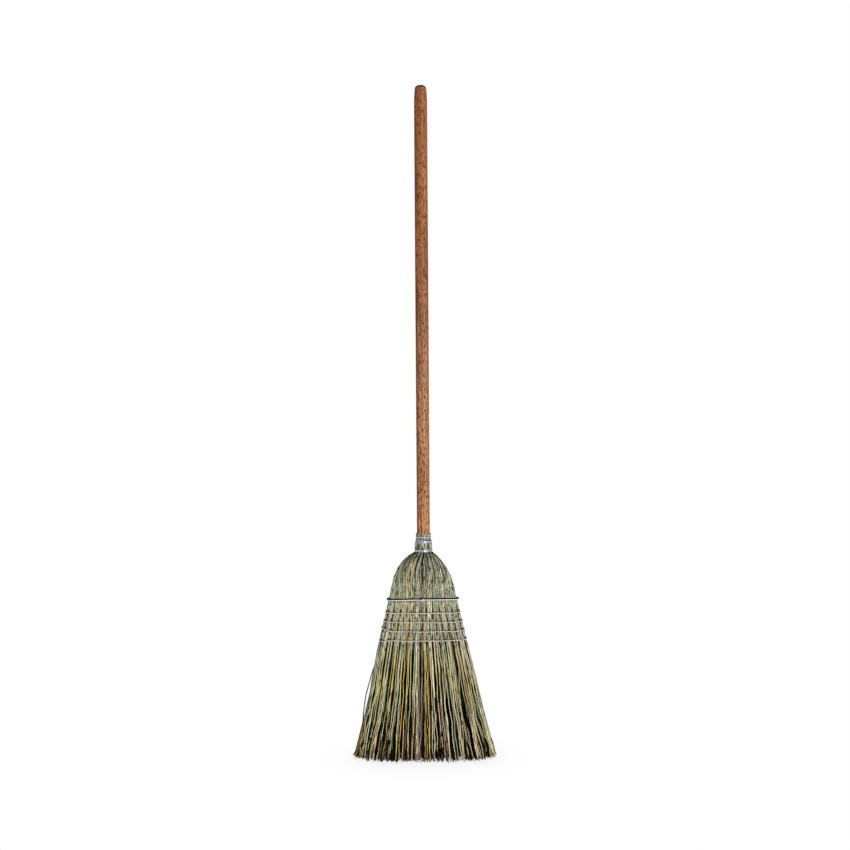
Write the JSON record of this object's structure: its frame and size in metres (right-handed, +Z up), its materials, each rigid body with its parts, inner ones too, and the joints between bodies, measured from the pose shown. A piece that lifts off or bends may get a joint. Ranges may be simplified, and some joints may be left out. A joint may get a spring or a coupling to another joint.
{
  "type": "corn broom",
  "caption": "Flat sewn fibre broom on a long turned wooden handle, wire bound at the neck and shoulders, for sweeping floors.",
  "frame": {"origin": "on the floor under the middle of the sweep, where the standing broom rests", "axes": "+Z up along the handle, X across the broom's width, Y through its thickness, with the front facing -Y"},
  "size_m": [0.3032, 0.0874, 1.448],
  "materials": {
    "handle_wood": "stained and lightly varnished, satin, with open grain",
    "cover_fibre": "dry plant fibre, matt, sage green with straw, olive and tan strands",
    "inner_fibre": "dry plant fibre, matt, darker olive",
    "twine": "twisted, matt, faded pinkish tan",
    "wire": "galvanised, bright satin",
    "nail": "plain steel, satin"
  },
  "bodies": {
    "root": {"handle": "handle_wood", "inner_bunch": "inner_fibre", "left_shoulder_bunch": "cover_fibre", "right_shoulder_bunch": "cover_fibre", "front_cover_bunch_1": "cover_fibre", "front_cover_bunch_2": "cover_fibre", "front_cover_bunch_3": "cover_fibre", "front_cover_bunch_4": "cover_fibre", "front_cover_bunch_5": "cover_fibre", "back_cover_bunch_1": "cover_fibre", "back_cover_bunch_2": "cover_fibre", "back_cover_bunch_3": "cover_fibre", "back_cover_bunch_4": "cover_fibre", "back_cover_bunch_5": "cover_fibre", "inner_wire": "wire", "neck_wire": "wire", "shoulder_band": "wire", "stitch_row_1": "twine", "stitch_row_2": "twine", "stitch_row_3": "twine", "stitch_row_4": "twine", "inner_nail": "nail", "lower_neck_nail": "nail", "upper_neck_nail": "nail"}
  },
  "joints": []
}
